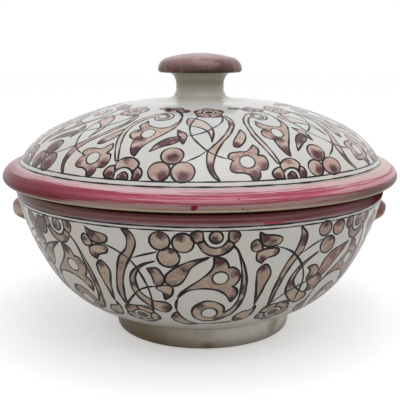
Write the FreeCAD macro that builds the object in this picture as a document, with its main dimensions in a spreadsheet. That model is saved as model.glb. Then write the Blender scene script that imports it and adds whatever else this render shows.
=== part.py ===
import FreeCAD, Part
import math
import os
import Sketcher

# A covered serving bowl of glazed earthenware, in millimetres.
# The origin is the centre of the foot on the table, +Z is up and the two lugs lie on the X axis.
# The bowl, its foot ring and its lugs are one body. The lid lifts off it straight up.

SIZES = {
    # Foot ring and the turned base that it is luted to
    "foot_radius": 67.8,
    "foot_wall": 11.5,
    "foot_height": 16.5,
    "foot_edge_round": 2.2,
    "base_ledge": 1.0,
    # Bowl: the belly is where the round lower wall meets the straighter upper wall
    "lip_radius": 141.7,
    "seat_height": 116.2,
    "bowl_wall": 8.0,
    "belly_share_out": 0.674,
    "belly_share_up": 0.362,
    "upper_wall_curve": 180.0,
    # Lugs pressed on the sides of the bowl
    "lug_height": 90.8,
    "lug_reach": 12.3,
    "lug_half_width": 15.0,
    "lug_half_depth": 9.3,
    # Lid rim: a rolled bead centred over the edge of the lip
    "bead_radius": 8.3,
    "dome_spring_angle": 32.0,
    # Flange that drops inside the mouth of the bowl and keeps the lid centred
    "flange_depth": 12.0,
    "flange_wall": 6.0,
    "flange_edge_round": 2.0,
    "flange_clearance": 1.5,
    # Domed cover
    "dome_rise": 43.4,
    "dome_wall": 7.0,
    "shoulder_share_out": 0.757,
    "shoulder_share_up": 0.562,
    "shoulder_curve": 58.8,
    "crown_margin": 3.5,
    # Knob: waisted stem under a mushroom cap
    "stem_base_radius": 31.0,
    "stem_base_edge": 0.8,
    "stem_waist_radius": 18.2,
    "stem_top_radius": 22.8,
    "stem_waist_height": 12.5,
    "stem_height": 21.8,
    "cap_radius": 32.0,
    "cap_height": 14.5,
    "cap_edge_round": 3.0,
    "cap_crown_rise": 2.0,
}

# Sketch geometry that every outline has, and the points of an element
ORIGIN_POINT = (-1, 1)
TABLE_LINE, AXIS_LINE = -1, -2
START, END, CENTRE = 1, 2, 3

# A rounding takes at most this share of the wall that it is on
LARGEST_ROUND = 0.4
# Heights this close are the same
SAME_HEIGHT = 1e-6

document = FreeCAD.newDocument("covered_bowl")
sheet = document.addObject("Spreadsheet::Sheet", "sizes")
for row, (alias, size) in enumerate(SIZES.items(), start=1):
    sheet.set("A%d" % row, alias)
    sheet.set("B%d" % row, str(size))
    sheet.setAlias("B%d" % row, alias)
document.recompute()

# Places that several pieces share, worked out from the sizes
BASE_RADIUS = "(sizes.foot_radius + sizes.base_ledge)"
BELLY_RADIUS = "(%s + sizes.belly_share_out * (sizes.lip_radius - %s))" % (BASE_RADIUS, BASE_RADIUS)
BELLY_HEIGHT = "(sizes.foot_height + sizes.belly_share_up * (sizes.seat_height - sizes.foot_height))"
BELLY = (BELLY_RADIUS, BELLY_HEIGHT)
BEAD_HEIGHT = "(sizes.seat_height + sizes.bead_radius)"
DOME_RADIUS = "(sizes.lip_radius - sizes.bead_radius * sin(sizes.dome_spring_angle))"
DOME_BASE = "(%s + sizes.bead_radius * cos(sizes.dome_spring_angle))" % BEAD_HEIGHT
CROWN_RADIUS = "(sizes.stem_base_radius + sizes.crown_margin)"
CROWN_HEIGHT = "(%s + sizes.dome_rise)" % DOME_BASE
SHOULDER_RADIUS = "(%s + sizes.shoulder_share_out * (%s - %s))" % (CROWN_RADIUS, DOME_RADIUS, CROWN_RADIUS)
SHOULDER_HEIGHT = "(%s + sizes.shoulder_share_up * sizes.dome_rise)" % DOME_BASE
SHOULDER = (SHOULDER_RADIUS, SHOULDER_HEIGHT)
WAIST_HEIGHT = "(%s + sizes.stem_waist_height)" % CROWN_HEIGHT
CAP_HEIGHT = "(%s + sizes.stem_height)" % CROWN_HEIGHT
CAP_TOP = "(%s + sizes.cap_height)" % CAP_HEIGHT
CAP_EQUATOR = "(%s + sizes.cap_edge_round)" % CAP_HEIGHT
CAP_SHOULDER = "(sizes.cap_height - sizes.cap_edge_round - sizes.cap_crown_rise)"
FLANGE_FOOT = "(sizes.seat_height - sizes.flange_depth)"


def measured(outline, name):
    """Expression for a length that a solved outline measures."""
    return "(%s.Constraints.%s / 1mm)" % (outline, name)


def curve_radius_at(height, outline, arc, knee, inside):
    """Expression for the radius at a height of an arc that meets the knee, a wall inside the measured one."""
    across = "(%s - %s)" % (knee[0], measured(outline, arc + "_inset"))
    up = "(%s + %s)" % (knee[1], measured(outline, arc + "_rise"))
    curve = "(%s - %s)" % (measured(outline, arc + "_curve"), inside)
    drop = "(%s - %s)" % (height, up)
    return "(%s + sqrt(%s * %s - %s * %s))" % (across, curve, curve, drop, drop)


def number(expression):
    """The present value of an expression over the sizes."""
    result = sheet.evalExpression(expression)
    return float(getattr(result, "Value", result))


def middle_of_arc_by_radius(first, last, radius):
    """Centre of the arc that runs anticlockwise from first to last with this radius."""
    half = (last - first) * 0.5
    lift = math.sqrt(radius * radius - half.Length * half.Length)
    left = FreeCAD.Vector(-half.y, half.x, 0).normalize()
    return first + half + left * lift


def middle_of_arc_by_tangent(shared, other, neighbour_centre):
    """Centre of the arc through two points that runs on smoothly from an arc ending at the shared one."""
    normal = (neighbour_centre - shared).normalize()
    chord = other - shared
    return shared + normal * (chord.Length * chord.Length / (2 * chord.dot(normal)))


class Outline:
    """A closed outline turned about the Z axis: across is the radius and up is the height."""

    def __init__(self, body, name):
        self.sketch = body.newObject("Sketcher::SketchObject", name)
        planes = [plane for plane in body.Origin.OriginFeatures if plane.Role == "YZ_Plane"]
        self.sketch.AttachmentSupport = [(planes[0], "")]
        self.sketch.MapMode = "FlatFace"

    def bind(self, kind, expression, *where):
        """Add one dimension and tie it to the sizes."""
        index = self.sketch.addConstraint(Sketcher.Constraint(kind, *where, number(expression)))
        self.sketch.setExpression("Constraints[%d]" % index, expression)

    def place(self, element, end, across=None, up=None):
        """Tie the place of an element's start, end or centre. A zero puts it on the axis or the table."""
        for kind, size, zero_line in (("DistanceX", across, AXIS_LINE), ("DistanceY", up, TABLE_LINE)):
            if size == "0":
                self.sketch.addConstraint(Sketcher.Constraint("PointOnObject", element, end, zero_line))
            elif size is not None:
                self.bind(kind, size, *ORIGIN_POINT, element, end)

    def line(self, first, last):
        """A line between two points given as expressions. Its start is placed."""
        ends = [FreeCAD.Vector(number(across), number(up), 0) for across, up in (first, last)]
        element = self.sketch.addGeometry(Part.LineSegment(*ends))
        self.place(element, START, *first)
        return element

    def arc(self, first, last, centre):
        """An anticlockwise arc between two points given as vectors."""
        start_angle = math.atan2(first.y - centre.y, first.x - centre.x)
        end_angle = math.atan2(last.y - centre.y, last.x - centre.x)
        circle = Part.Circle(centre, FreeCAD.Vector(0, 0, 1), (first - centre).Length)
        if end_angle < start_angle:
            end_angle += 2 * math.pi
        return self.sketch.addGeometry(Part.ArcOfCircle(circle, start_angle, end_angle))

    def join(self, element, end, other, other_end, smooth=False):
        """Make two ends meet, running on smoothly if asked."""
        kind = "Tangent" if smooth else "Coincident"
        self.sketch.addConstraint(Sketcher.Constraint(kind, element, end, other, other_end))

    def measure(self, name, kind, *where):
        """Keep a length of the solved outline under a name that expressions can read."""
        index = self.sketch.addConstraint(Sketcher.Constraint(kind, *where, 1.0))
        self.sketch.setDriving(index, False)
        self.sketch.renameConstraint(index, name)

    def turn(self, body, name, feature="PartDesign::Revolution"):
        """Turn the outline a full circle about the Z axis, to add it to the body or to take it away."""
        document.recompute()
        turned = body.newObject(feature, name)
        turned.Profile = self.sketch
        turned.ReferenceAxis = (self.sketch, ["V_Axis"])
        turned.Angle = 360
        document.recompute()
        return turned


def new_body(label):
    body = document.addObject("PartDesign::Body", label)
    body.Label = label
    return body


def point(place):
    """Vector of a place given as a pair of expressions."""
    return FreeCAD.Vector(number(place[0]), number(place[1]), 0)


def level_at(items, kind, height):
    """Names of the faces or edges that lie level at a height."""
    names = []
    for index, item in enumerate(items, start=1):
        box = item.optimalBoundingBox()
        if box.ZLength < SAME_HEIGHT and abs(box.ZMin - height) < SAME_HEIGHT:
            names.append("%s%d" % (kind, index))
    return names


def draw_two_arcs(body, name, low, knee, high, set_arc, set_curve):
    """Closed outline of a turned form, flat below and above, whose wall is two arcs that meet smoothly.

    One of them, the lower or the upper, has the radius that is set. The other follows from its ends.
    """
    outline = Outline(body, name)
    if set_arc == "upper":
        upper_centre = middle_of_arc_by_radius(point(knee), point(high), number(set_curve))
        lower_centre = middle_of_arc_by_tangent(point(knee), point(low), upper_centre)
    else:
        lower_centre = middle_of_arc_by_radius(point(low), point(knee), number(set_curve))
        upper_centre = middle_of_arc_by_tangent(point(knee), point(high), lower_centre)
    axis_low = ("0", low[1])
    axis_high = ("0", high[1])
    bottom = outline.line(axis_low, low)
    lower = outline.arc(point(low), point(knee), lower_centre)
    upper = outline.arc(point(knee), point(high), upper_centre)
    top = outline.line(high, axis_high)
    axis = outline.line(axis_high, axis_low)
    outline.place(lower, START, *low)
    outline.place(upper, START, *knee)
    outline.bind("Radius", set_curve, upper if set_arc == "upper" else lower)
    outline.join(bottom, END, lower, START)
    outline.join(lower, END, upper, START, smooth=True)
    outline.join(upper, END, top, START)
    outline.join(top, END, axis, START)
    outline.join(axis, END, bottom, START)
    for arc, element in (("lower", lower), ("upper", upper)):
        outline.measure(arc + "_curve", "Radius", element)
        outline.measure(arc + "_inset", "DistanceX", element, CENTRE, upper, START)
        outline.measure(arc + "_rise", "DistanceY", upper, START, element, CENTRE)
    return outline


def hollow_out(body, outer, knee, low_height, high_height, wall, set_arc, name):
    """Take away the same form a wall further in, between two heights."""
    curve = measured(outer, set_arc + "_curve")
    share = "(%s / %s)" % (wall, curve)
    inner_low = (curve_radius_at(low_height, outer, "lower", knee, wall), low_height)
    inner_knee = ("(%s - %s * %s)" % (knee[0], share, measured(outer, set_arc + "_inset")),
                  "(%s + %s * %s)" % (knee[1], share, measured(outer, set_arc + "_rise")))
    inner_high = (curve_radius_at(high_height, outer, "upper", knee, wall), high_height)
    inner_curve = "(%s - %s)" % (curve, wall)
    outline = draw_two_arcs(body, name + "_outline", inner_low, inner_knee, inner_high, set_arc, inner_curve)
    return outline.turn(body, name, "PartDesign::Groove")


def round_level_edges(body, solid, height, radius, wall, name):
    """Round every level edge at a height, within the wall between them."""
    rounded = body.newObject("PartDesign::Fillet", name)
    rounded.Base = (solid, level_at(solid.Shape.Edges, "Edge", height))
    rounded.setExpression("Radius", "min(%s; %s * %s)" % (radius, LARGEST_ROUND, wall))
    document.recompute()
    return rounded


def make_ring(label, inner, outer, low, high):
    """A plain turned ring of rectangular section, with its outline's four corners as expressions."""
    body = new_body(label)
    outline = Outline(body, label + "_outline")
    corners = [(inner, low), (outer, low), (outer, high), (inner, high)]
    sides = [outline.line(corners[i], corners[(i + 1) % 4]) for i in range(4)]
    for i in range(4):
        outline.join(sides[i], END, sides[(i + 1) % 4], START)
    return body, outline.turn(body, label + "_turned")


def make_bowl():
    """Thrown bowl: flat base, round belly, straighter flared wall and a flat lip for the lid."""
    body = new_body("bowl")
    base = (BASE_RADIUS, "sizes.foot_height")
    lip = ("sizes.lip_radius", "sizes.seat_height")
    outline = draw_two_arcs(body, "bowl_outline", base, BELLY, lip, "upper", "sizes.upper_wall_curve")
    turned = outline.turn(body, "bowl_turned")
    inside_floor = "(sizes.foot_height + sizes.bowl_wall)"
    hollow_out(body, "bowl_outline", BELLY, inside_floor, "sizes.seat_height", "sizes.bowl_wall", "upper",
               "bowl_hollow")
    return body, turned


def make_foot_ring():
    """Ring luted under the flat base, with worn edges where it meets the table."""
    inner = "sizes.foot_radius - sizes.foot_wall"
    body, turned = make_ring("foot_ring", inner, "sizes.foot_radius", "0", "sizes.foot_height")
    round_level_edges(body, turned, 0.0, "sizes.foot_edge_round", "sizes.foot_wall", "foot_ring_rounded")
    return body


def make_lug(label, side, bowl_form):
    """Rounded clay lug pressed on the outside of the bowl, on one side of the X axis."""
    pellet = document.addObject("Part::Ellipsoid", label + "_pellet")
    # The seam of the round pellet is turned towards the bowl, where the cut takes it away
    pellet.Placement.Rotation = FreeCAD.Rotation(FreeCAD.Vector(0, 0, 1), 90 + 90 * side)
    pellet.setExpression("Radius1", "sizes.lug_half_depth")
    pellet.setExpression("Radius2", "sizes.lug_reach")
    pellet.setExpression("Radius3", "sizes.lug_half_width")
    wall_radius = curve_radius_at("sizes.lug_height", "bowl_outline", "upper", BELLY, "0")
    pellet.setExpression("Placement.Base.x", "%d * %s" % (side, wall_radius))
    pellet.setExpression("Placement.Base.z", "sizes.lug_height")
    lug = document.addObject("Part::Cut", label)
    lug.Base = pellet
    lug.Tool = bowl_form
    lug.Label = label
    document.recompute()
    return lug


def make_lid_rim(flange_inner):
    """Rolled rim: a round bead over the lip, a flat seat under it and a flat top that carries the dome."""
    body = new_body("lid_rim")
    outline = Outline(body, "lid_rim_outline")
    top_inner = ("%s - sizes.dome_wall" % DOME_RADIUS, DOME_BASE)
    top_outer = (DOME_RADIUS, DOME_BASE)
    seat_outer = ("sizes.lip_radius", "sizes.seat_height")
    seat_inner = (flange_inner, "sizes.seat_height")
    centre = ("sizes.lip_radius", BEAD_HEIGHT)
    top = outline.line(top_inner, top_outer)
    bead = outline.arc(point(seat_outer), point(top_outer), point(centre))
    seat = outline.line(seat_outer, seat_inner)
    inside = outline.line(seat_inner, top_inner)
    outline.place(bead, CENTRE, *centre)
    outline.join(top, END, bead, END)
    outline.join(bead, START, seat, START)
    outline.join(seat, END, inside, START)
    outline.join(inside, END, top, START)
    outline.bind("DistanceX", DOME_RADIUS, *ORIGIN_POINT, bead, END)
    outline.turn(body, "lid_rim_turned")
    return body


def make_lid_flange(flange_inner, flange_outer):
    """Locating flange under the rim, loose inside the mouth of the bowl."""
    body, turned = make_ring("lid_flange", flange_inner, flange_outer, FLANGE_FOOT, "sizes.seat_height")
    round_level_edges(body, turned, number(FLANGE_FOOT), "sizes.flange_edge_round", "sizes.flange_wall",
                      "lid_flange_rounded")
    return body


def make_lid_dome():
    """Thrown dome: a tight shoulder, a flatter crown and a flat spot that carries the knob."""
    body = new_body("lid_dome")
    base = (DOME_RADIUS, DOME_BASE)
    crown = (CROWN_RADIUS, CROWN_HEIGHT)
    outline = draw_two_arcs(body, "lid_dome_outline", base, SHOULDER, crown, "lower", "sizes.shoulder_curve")
    outline.turn(body, "lid_dome_turned")
    inside_crown = "(%s - sizes.dome_wall)" % CROWN_HEIGHT
    hollow_out(body, "lid_dome_outline", SHOULDER, DOME_BASE, inside_crown, "sizes.dome_wall", "lower",
               "lid_dome_hollow")
    return body


def make_knob_stem():
    """Waisted stem: it flares to a wide foot on the dome and to the underside of the cap."""
    body = new_body("knob_stem")
    outline = Outline(body, "knob_stem_outline")
    axis_low = ("0", CROWN_HEIGHT)
    foot = ("sizes.stem_base_radius", CROWN_HEIGHT)
    foot_edge = ("sizes.stem_base_radius", "%s + sizes.stem_base_edge" % CROWN_HEIGHT)
    waist = ("sizes.stem_waist_radius", WAIST_HEIGHT)
    head = ("sizes.stem_top_radius", CAP_HEIGHT)
    axis_high = ("0", CAP_HEIGHT)
    inward = point(waist) - FreeCAD.Vector(1, 0, 0)
    lower_centre = middle_of_arc_by_tangent(point(waist), point(foot_edge), inward)
    upper_centre = middle_of_arc_by_tangent(point(waist), point(head), inward)
    bottom = outline.line(axis_low, foot)
    edge = outline.line(foot, foot_edge)
    lower = outline.arc(point(waist), point(foot_edge), lower_centre)
    upper = outline.arc(point(head), point(waist), upper_centre)
    top = outline.line(head, axis_high)
    axis = outline.line(axis_high, axis_low)
    outline.place(lower, START, *waist)
    outline.place(lower, END, *foot_edge)
    for curve in (lower, upper):
        outline.place(curve, CENTRE, up=WAIST_HEIGHT)
    outline.join(bottom, END, edge, START)
    outline.join(edge, END, lower, END)
    outline.join(lower, START, upper, END)
    outline.join(upper, START, top, START)
    outline.join(top, END, axis, START)
    outline.join(axis, END, bottom, START)
    outline.turn(body, "knob_stem_turned")
    return body


def make_knob_cap():
    """Mushroom cap: flat underneath, rounded edge, full shoulder and a slightly domed top."""
    body = new_body("knob_cap")
    outline = Outline(body, "knob_cap_outline")
    axis_low = ("0", CAP_HEIGHT)
    underside = ("sizes.cap_radius - sizes.cap_edge_round", CAP_HEIGHT)
    equator = ("sizes.cap_radius", CAP_EQUATOR)
    apex = ("0", CAP_TOP)
    edge_centre = (underside[0], CAP_EQUATOR)
    shoulder_centre = ("sizes.cap_radius - %s" % CAP_SHOULDER, CAP_EQUATOR)
    # The crown's centre is on the axis, and its arc passes the apex and touches the shoulder's arc
    shoulder_radius = number(CAP_SHOULDER)
    reach = SIZES["cap_radius"] - shoulder_radius
    rise = SIZES["cap_crown_rise"]
    crown_radius = (reach * reach + rise * rise) / (2 * rise) + shoulder_radius
    crown_centre = point(apex) - FreeCAD.Vector(0, crown_radius, 0)
    outward = (point(shoulder_centre) - crown_centre).normalize()
    meeting = point(shoulder_centre) + outward * shoulder_radius
    bottom = outline.line(axis_low, underside)
    edge = outline.arc(point(underside), point(equator), point(edge_centre))
    shoulder = outline.arc(point(equator), meeting, point(shoulder_centre))
    crown = outline.arc(meeting, point(apex), crown_centre)
    axis = outline.line(apex, axis_low)
    outline.place(edge, CENTRE, *edge_centre)
    outline.place(edge, START, *underside)
    outline.place(edge, END, up=CAP_EQUATOR)
    outline.place(shoulder, CENTRE, *shoulder_centre)
    outline.place(crown, CENTRE, across="0")
    outline.join(bottom, END, edge, START)
    outline.join(edge, END, shoulder, START)
    outline.join(shoulder, END, crown, START, smooth=True)
    outline.join(crown, END, axis, START)
    outline.join(axis, END, bottom, START)
    outline.turn(body, "knob_cap_turned")
    return body


bowl, bowl_form = make_bowl()
mouth_radius = curve_radius_at(FLANGE_FOOT, "bowl_outline", "upper", BELLY, "sizes.bowl_wall")
flange_outer_radius = "%s - sizes.flange_clearance" % mouth_radius
flange_inner_radius = "%s - sizes.flange_wall" % flange_outer_radius
sub_parts = [
    bowl,
    make_foot_ring(),
    make_lug("left_lug", -1, bowl_form),
    make_lug("right_lug", 1, bowl_form),
    make_lid_rim(flange_inner_radius),
    make_lid_flange(flange_inner_radius, flange_outer_radius),
    make_lid_dome(),
    make_knob_stem(),
    make_knob_cap(),
]
document.recompute()

for item in document.Objects:
    if "Invalid" in item.State or "Error" in item.State:
        raise RuntimeError("%s failed: %s" % (item.Label, item.State))
for item in sub_parts:
    if item.Shape.isNull() or not item.Shape.isValid() or len(item.Shape.Solids) != 1:
        raise RuntimeError("%s is not one sound solid" % item.Label)

os.makedirs("parts", exist_ok=True)
for item in sub_parts:
    item.Shape.exportStep("parts/%s.step" % item.Label)
    box = item.Shape.optimalBoundingBox()
    print("%-10s volume %9.0f mm3, Z %6.1f to %6.1f, reach %6.1f"
          % (item.Label, item.Shape.Volume, box.ZMin, box.ZMax, box.XMax))
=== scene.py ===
import math
import random
from functools import partial

import bmesh
import bpy
import numpy as np
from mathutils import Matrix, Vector, geometry


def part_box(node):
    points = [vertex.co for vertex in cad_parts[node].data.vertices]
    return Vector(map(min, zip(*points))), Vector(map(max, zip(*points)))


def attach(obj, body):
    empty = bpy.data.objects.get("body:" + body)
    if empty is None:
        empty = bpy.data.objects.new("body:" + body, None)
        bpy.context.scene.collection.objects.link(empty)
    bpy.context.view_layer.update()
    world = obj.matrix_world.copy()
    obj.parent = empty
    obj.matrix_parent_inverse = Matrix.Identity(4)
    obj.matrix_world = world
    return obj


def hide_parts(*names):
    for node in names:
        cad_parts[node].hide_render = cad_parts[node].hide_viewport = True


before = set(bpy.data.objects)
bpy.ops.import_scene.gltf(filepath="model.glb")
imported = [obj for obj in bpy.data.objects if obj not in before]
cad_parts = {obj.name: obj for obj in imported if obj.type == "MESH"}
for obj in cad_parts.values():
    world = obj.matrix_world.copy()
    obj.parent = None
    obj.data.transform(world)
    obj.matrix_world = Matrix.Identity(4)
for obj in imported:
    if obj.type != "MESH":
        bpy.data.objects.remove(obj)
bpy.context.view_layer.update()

# A covered serving bowl of glazed, hand-painted earthenware. Forms and figures are in millimetres.
# Materials read places in metres, and colours are written as they show on a screen, from 0 to 255.
MM = 0.001
AROUND = 384
POINT_STEP = 1.5
# Points of a rounded corner, and the most it takes of a side
ROUND_POINTS = 6
ROUND_SHARE = 0.45
# Radius below which a point of an outline lies on the axis
ON_AXIS = 1e-6
random.seed(7)


def node_box(node):
    """Lowest and highest corner of a CAD node in millimetres."""
    return [[value / MM for value in corner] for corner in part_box(node)]


# Places read from the CAD parts in model.glb
BASE_HEIGHT = node_box("bowl")[0][2]
LIP_RADIUS = node_box("bowl")[1][0]
SEAT = node_box("bowl")[1][2]
FOOT_RADIUS = node_box("foot_ring")[1][0]
RIM_RADIUS = node_box("lid_rim")[1][0]
FLANGE_RADIUS = node_box("lid_flange")[1][0]
FLANGE_FOOT = node_box("lid_flange")[0][2]
DOME_RADIUS = node_box("lid_dome")[1][0]
DOME_BASE, CROWN = [corner[2] for corner in node_box("lid_dome")]
STEM_RADIUS = node_box("knob_stem")[1][0]
CAP_RADIUS = node_box("knob_cap")[1][0]
CAP_BASE, CAP_TOP = [corner[2] for corner in node_box("knob_cap")]


def between(low, high, share_out, share_up):
    """A point of an outline, a share of the way out and up from one point to another."""
    return low[0] + share_out * (high[0] - low[0]), low[1] + share_up * (high[1] - low[1])


# Bowl and foot ring. The belly is the knee where the two arcs of the bowl's wall meet.
BOWL_WALL = 8.0
BASE_RADIUS = FOOT_RADIUS + 1.0
BELLY = between((BASE_RADIUS, BASE_HEIGHT), (LIP_RADIUS, SEAT), 0.674, 0.362)
UPPER_WALL_CURVE = 180.0
LIP_ROUND = 3.2
LIP_INNER_ROUND = 1.5
# The painted band reaches this far below the lip, and this far in over it
BAND_HEIGHT = 8.1
BAND_REACH_IN = 5.0
FOOT_WALL = 11.5
FOOT_FLARE = 2.6
FOOT_SHOULDER = 1.0
FOOT_EDGE_ROUND = 2.2
# The foot ring was set a little off the centre of the bowl
FOOT_OFFSET = np.array((2.1, 0.0, 0.0))

# Lugs: bluntness, share of the reach inside the wall, steps of the mesh, lumps as shares of the size
LUG_BLUNTNESS = 0.95
LUG_SUNK = 0.12
LUG_AROUND = 48
LUG_ROWS = 32
LUG_LUMPS = (0.03, 0.02)
# How far each lug was set below its place, and its share of the full reach
LUG_DROP = {"left_lug": 0.0, "right_lug": 1.5}
LUG_REACH = {"left_lug": 1.0, "right_lug": 0.87}

# Dome. Its crown is a little higher round the stem than the solid, and it sank a little on the left.
DOME_WALL = 7.0
CROWN_RADIUS = STEM_RADIUS + 3.5
SHOULDER = between((CROWN_RADIUS, DOME_BASE), (DOME_RADIUS, CROWN), 0.757, 0.562)
SHOULDER_CURVE = 58.8
CROWN_LIFT = 1.2
DOME_SAG = 1.1

# Bead of the rim. It ends short of the lip and leaves a narrow slot under the lid, painted near-black as
# shade.
# It droops, so it is fullest below its middle.
BEAD_RADIUS = RIM_RADIUS - LIP_RADIUS
BEAD_TOP_DEGREES = math.degrees(math.atan2(DOME_BASE - SEAT - BEAD_RADIUS, DOME_RADIUS - LIP_RADIUS))
BEAD_TURN_DEGREES = BEAD_TOP_DEGREES + 90.0
BEAD_END_DEGREES = -47.0
BEAD_SHARE = (BEAD_TOP_DEGREES - BEAD_END_DEGREES) / BEAD_TURN_DEGREES
BEAD_DROOP = 3.0
BEAD_POINTS = 60
SLOT_DEPTH = 6.0
SLOT_BEVEL = 1.0
FLANGE_WALL = 6.0
FLANGE_EDGE_ROUND = 2.0

# Knob. The stem runs out thinly on the dome, and has a ring left by the potter's fingers near its foot.
WAIST = (18.2, CROWN + 12.5)
STEM_TOP_RADIUS = 24.8
STEM_POINTS = 20
RUN_OUT = (CROWN_RADIUS - 0.5, CROWN + CROWN_LIFT + 0.12)
RUN_OUT_SWEEP = 1.9
STEM_RING = 0.5
STEM_RING_WIDTH = 1.1
STEM_RING_HEIGHT = CROWN + 6.0
CAP_EDGE_ROUND = 2.2
CAP_UNDER_EDGE = 4.0
CAP_CROWN_RISE = 3.2

# Unevenness of a thrown wall: share of its radius, waves round it, their start and twist with height
WOBBLES = ((0.0016, 2, 0.7, 0.010), (0.0009, 3, 2.3, -0.014), (0.0005, 5, 4.0, 0.020))

# How strong the wash of a fill is. Below the thin one it is plain white glaze.
BASE_WASH = 0.1
FULL_WASH = 0.19
THIN_WASH = -0.5
NO_WASH = -1.0
DARK_WASH = 0.9
RUSTY_WASH = 0.6
# A dark wash fades out over this share of its reach, and is full near its middle
WASH_REACH = 0.8
WASH_HEART = 1.15
# How far the paint stands off the glaze under it
FILL_LIFT = 0.05
WHITE_LIFT = 0.075
DISC_LIFT = 0.09
INK_LIFT = 0.105
# Spacing of the points inside a fill and along a line, and the least distance of the former from the edge
FILL_STEP = 1.8
FILL_MARGIN = 0.7
LINE_STEP = 1.1
# A brush line is narrower at its tips, over some steps, and its width swells and shrinks
TAPER_TIP = 0.35
TAPER_STEPS = 6
BRUSH_PHASES = 6.28
BRUSH_SWELLS = ((0.22, 0.21, 1), (0.12, 0.53, 2))
# Sway of a line drawn on the wheel: size, waves round the pot, where they start
RING_SWAYS = ((0.12, 3, 0), (0.08, 7, 1), (0.05, 17, 2))
ELLIPSE_POINTS = 10
# Petal of a rosette, as shares of its room round the flower, of the ring and of the reach
PETAL_WIDTH = 0.86
PETAL_SPREAD = 1.05
PETAL_FOOT = 1.1
PETAL_SHOULDER = 0.85
PETAL_DARK_REACH = 0.45
PETAL_DARK = 0.8
DISC_DARK_REACH = 1.8
PAINT_SHARP_DEGREES = 80.0
# Middle of the pot, in metres
POT_MIDDLE = Vector((0.0, 0.0, 0.1))
# Fills: keep only triangles inside the line, merge points this close, and the least length to divide by
ONLY_INSIDE = 1
MERGE_DISTANCE = 1e-5
TINY = 1e-9


def waves(value, rows):
    """Sum of waves, each with its size, its rate and where it starts."""
    return sum(size * np.sin(rate * value + start) for size, rate, start in rows)


def wobble(angle, height):
    """Hand-thrown unevenness of a wall, as a share of its radius."""
    return waves(angle, [(size, rate, start + twist * height) for size, rate, start, twist in WOBBLES])


def sag(angle, height):
    """How far the dome sank in the kiln, most on the left and high on its shoulder."""
    rise = np.clip((height - DOME_BASE) / (CROWN - DOME_BASE), 0, 1)
    return DOME_SAG * np.sin(math.pi * rise ** 2) * (0.5 - 0.5 * np.sin(angle)) ** 2


def on_wheel(radius, angle, height):
    """Places in metres. Angle 0 is the front, and it grows towards the right."""
    radius = np.asarray(radius) * (1 + wobble(angle, height))
    height = height - sag(angle, height)
    return np.stack([radius * np.sin(angle), -radius * np.cos(angle), height + 0 * radius], axis=-1) * MM


def unit(vector):
    """The vector at length 1."""
    return vector / np.linalg.norm(vector)


def arc(centre, radius, start, end):
    """Points along an arc in the plane of radius and height, between two angles."""
    count = max(3, int(abs(end - start) * radius / POINT_STEP) + 2)
    return [(centre[0] + radius * math.cos(a), centre[1] + radius * math.sin(a))
            for a in np.linspace(start, end, count)]


def rounded(corners, rounding):
    """An outline whose inner corners are rounded off with short curves."""
    points = [corners[0]]
    for corner_group in zip(corners, corners[1:], corners[2:]):
        before, corner, after = (np.array(p, float) for p in corner_group)
        room = ROUND_SHARE * min(np.linalg.norm(corner - before), np.linalg.norm(after - corner))
        first = corner + unit(before - corner) * min(rounding, room)
        last = corner + unit(after - corner) * min(rounding, room)
        for share in np.linspace(0, 1, ROUND_POINTS):
            bend = (1 - share) ** 2 * first + 2 * share * (1 - share) * corner + share ** 2 * last
            points.append(tuple(bend))
    return points + [corners[-1]]


class ThrownWall:
    """A wall of two arcs that meet smoothly at a knee. One of them has a set radius."""

    def __init__(self, low, knee, high, set_arc, curve):
        low, knee, high = (np.array(p, float) for p in (low, knee, high))
        first, last = (knee, high) if set_arc == "upper" else (low, knee)
        half = (last - first) / 2
        left = unit(np.array([-half[1], half[0]]))
        set_centre = first + half + left * math.sqrt(curve ** 2 - half @ half)
        chord = (low if set_arc == "upper" else high) - knee
        normal = unit(set_centre - knee)
        free_centre = knee + normal * (chord @ chord) / (2 * chord @ normal)
        centres = (free_centre, set_centre) if set_arc == "upper" else (set_centre, free_centre)
        self.arcs = [(centre, np.linalg.norm(knee - centre)) for centre in centres]
        self.knee_angle = math.atan2(*(knee - set_centre)[::-1])
        self.ends = low[1], high[1]

    def points(self, inside=0.0, low=None, high=None):
        """Points from the low end to the high end, a wall inside the outer face if asked."""
        low = self.ends[0] if low is None else low
        high = self.ends[1] if high is None else high
        (lower, lower_radius), (upper, upper_radius) = self.arcs
        start = math.asin((low - lower[1]) / (lower_radius - inside))
        end = math.asin((high - upper[1]) / (upper_radius - inside))
        below = arc(lower, lower_radius - inside, start, self.knee_angle)
        above = arc(upper, upper_radius - inside, self.knee_angle, end)
        return below + above[1:]


BOWL = ThrownWall((BASE_RADIUS, BASE_HEIGHT), BELLY, (LIP_RADIUS, SEAT), "upper", UPPER_WALL_CURVE)
DOME = ThrownWall((DOME_RADIUS, DOME_BASE), SHOULDER, (CROWN_RADIUS, CROWN + CROWN_LIFT), "lower",
                  SHOULDER_CURVE)


def bead_point(share):
    """Radius and height on the drooping bead, a share of its turn on from the foot of the dome."""
    angle = math.radians(BEAD_TOP_DEGREES - BEAD_TURN_DEGREES * share)
    droop = BEAD_DROOP * math.sin(math.pi * share / BEAD_SHARE)
    return LIP_RADIUS + BEAD_RADIUS * math.cos(angle), SEAT + BEAD_RADIUS * (1 + math.sin(angle)) - droop


def finish_piece(obj, body, materials, nodes=()):
    """Give a mesh its materials by name, put it under the body it rides on, and hide the CAD nodes it stands
    for.
    """
    for material in materials:
        obj.data.materials.append(MATERIALS[material])
    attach(obj, body)
    if nodes:
        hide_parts(*nodes)
    return obj


def new_object(name, data):
    """An object that is in the scene."""
    obj = bpy.data.objects.new(name, data)
    bpy.context.scene.collection.objects.link(obj)
    return obj


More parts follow.
